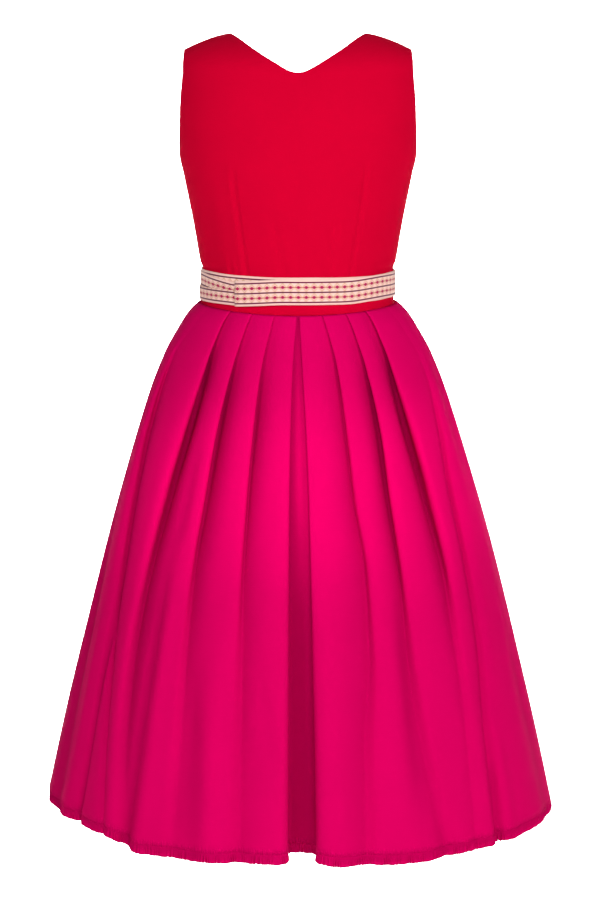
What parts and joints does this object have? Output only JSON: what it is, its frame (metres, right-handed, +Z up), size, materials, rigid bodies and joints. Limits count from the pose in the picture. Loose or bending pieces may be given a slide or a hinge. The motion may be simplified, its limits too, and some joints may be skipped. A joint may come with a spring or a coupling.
{
  "type": "dirndl dress",
  "caption": "Sleeveless dirndl as worn: plain fitted bodice with a V neck, pleated midi skirt with a gathered hem ruffle, and a patterned woven belt wound round the waist",
  "frame": {"origin": "on the centre line between the two shoulder seams, 2 mm below their neck ends, where the garment hangs on its wearer", "axes": "+Z up, -Y the back of the garment (the side with the shallow V), +Y its front, +X its right-hand side as worn"},
  "size_m": [0.6804, 0.5092, 1.0342],
  "materials": {
    "bodice_cloth": "matte",
    "skirt_cloth": "matte",
    "woven_band": "matte"
  },
  "bodies": {
    "root": {"bodice_back": "bodice_cloth", "bodice_front": "bodice_cloth", "skirt_back": "skirt_cloth", "skirt_front": "skirt_cloth", "hem_ruffle_back": "skirt_cloth", "hem_ruffle_front": "skirt_cloth", "belt_inner": "woven_band", "belt_middle": "woven_band", "belt_outer": "woven_band"}
  },
  "joints": []
}
